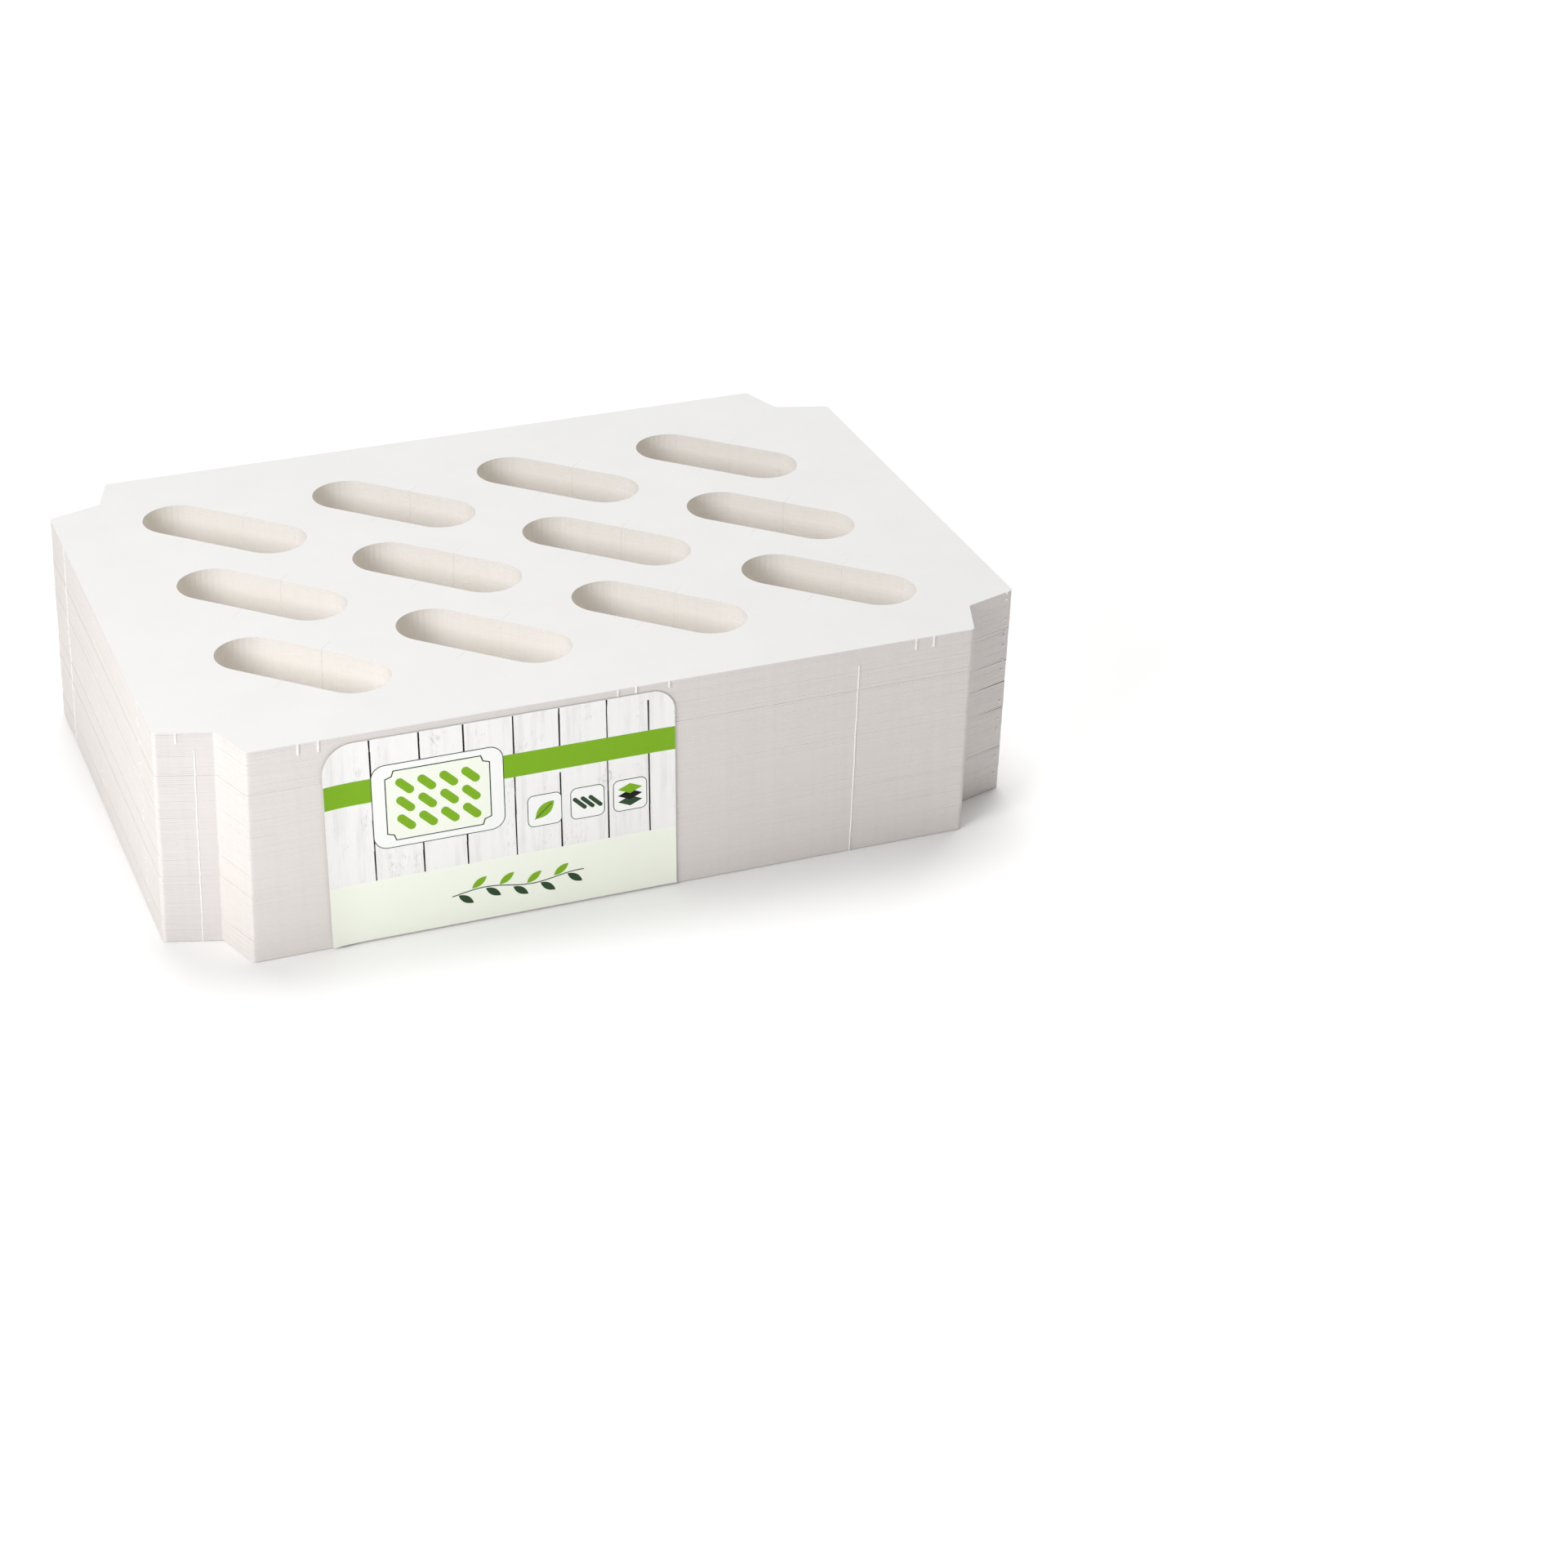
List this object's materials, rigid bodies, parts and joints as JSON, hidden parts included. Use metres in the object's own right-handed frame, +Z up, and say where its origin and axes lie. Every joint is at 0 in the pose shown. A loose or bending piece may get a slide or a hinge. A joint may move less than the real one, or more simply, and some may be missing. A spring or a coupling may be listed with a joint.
{
  "type": "stack of cupcake box inserts",
  "caption": "Pressed stack of flat die-cut card inserts with slanted round-ended slots, folding edge flaps and a printed front label.",
  "frame": {"origin": "middle of the stack's footprint, on the underside of the lowest sheet", "axes": "+X along the front to the right, +Y to the back, +Z up; the label is on the -Y side"},
  "size_m": [0.3984, 0.2898, 0.102],
  "materials": {
    "board": "uncoated white board, pale grey cut edges",
    "label_paper": "satin printed paper"
  },
  "bodies": {
    "root": {"insert_lift_1": "board", "insert_lift_2": "board", "insert_lift_3": "board", "insert_lift_4": "board", "insert_lift_5": "board", "insert_lift_6": "board", "loose_insert_1": "board", "loose_insert_2": "board", "front_label": "label_paper"}
  },
  "joints": []
}
